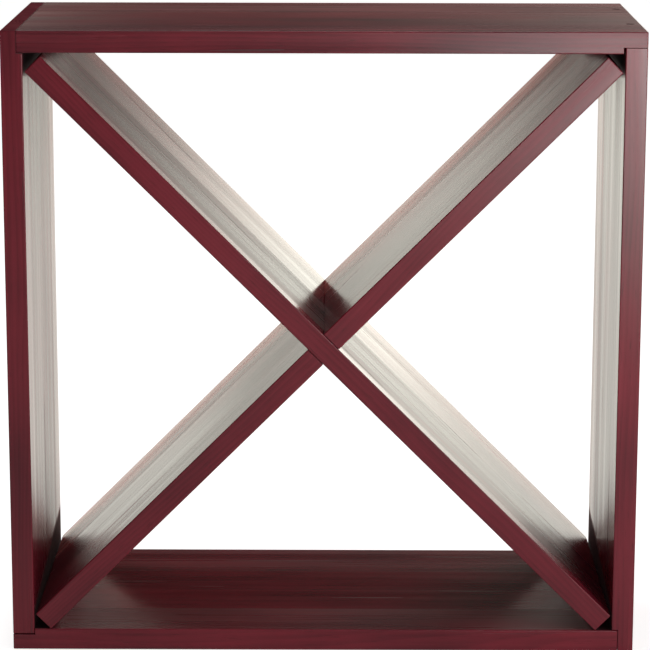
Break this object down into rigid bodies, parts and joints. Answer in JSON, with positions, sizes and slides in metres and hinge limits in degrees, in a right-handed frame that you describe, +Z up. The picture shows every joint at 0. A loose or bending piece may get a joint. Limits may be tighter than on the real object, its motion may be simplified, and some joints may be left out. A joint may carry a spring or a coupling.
{
  "type": "wine rack",
  "caption": "Open square wine rack: a rabbeted cube of four stained boards divided by two halved boards in an X into triangular bays for bottles laid on their sides.",
  "frame": {"origin": "centre of the footprint, on the surface the rack stands on", "axes": "+Z up, -Y out of the front, +X to the right as seen from the front"},
  "size_m": [0.508, 0.225, 0.508],
  "materials": {
    "stained_wood": "dark cherry stain under satin lacquer",
    "screw_steel": "blackened steel"
  },
  "bodies": {
    "root": {"panel_top": "stained_wood", "panel_right": "stained_wood", "panel_bottom": "stained_wood", "panel_left": "stained_wood", "divider_falling": "stained_wood", "divider_rising": "stained_wood", "screw_top_front": "screw_steel", "screw_top_back": "screw_steel", "screw_right_front": "screw_steel", "screw_right_back": "screw_steel", "screw_bottom_front": "screw_steel", "screw_bottom_back": "screw_steel", "screw_left_front": "screw_steel", "screw_left_back": "screw_steel"}
  },
  "joints": []
}
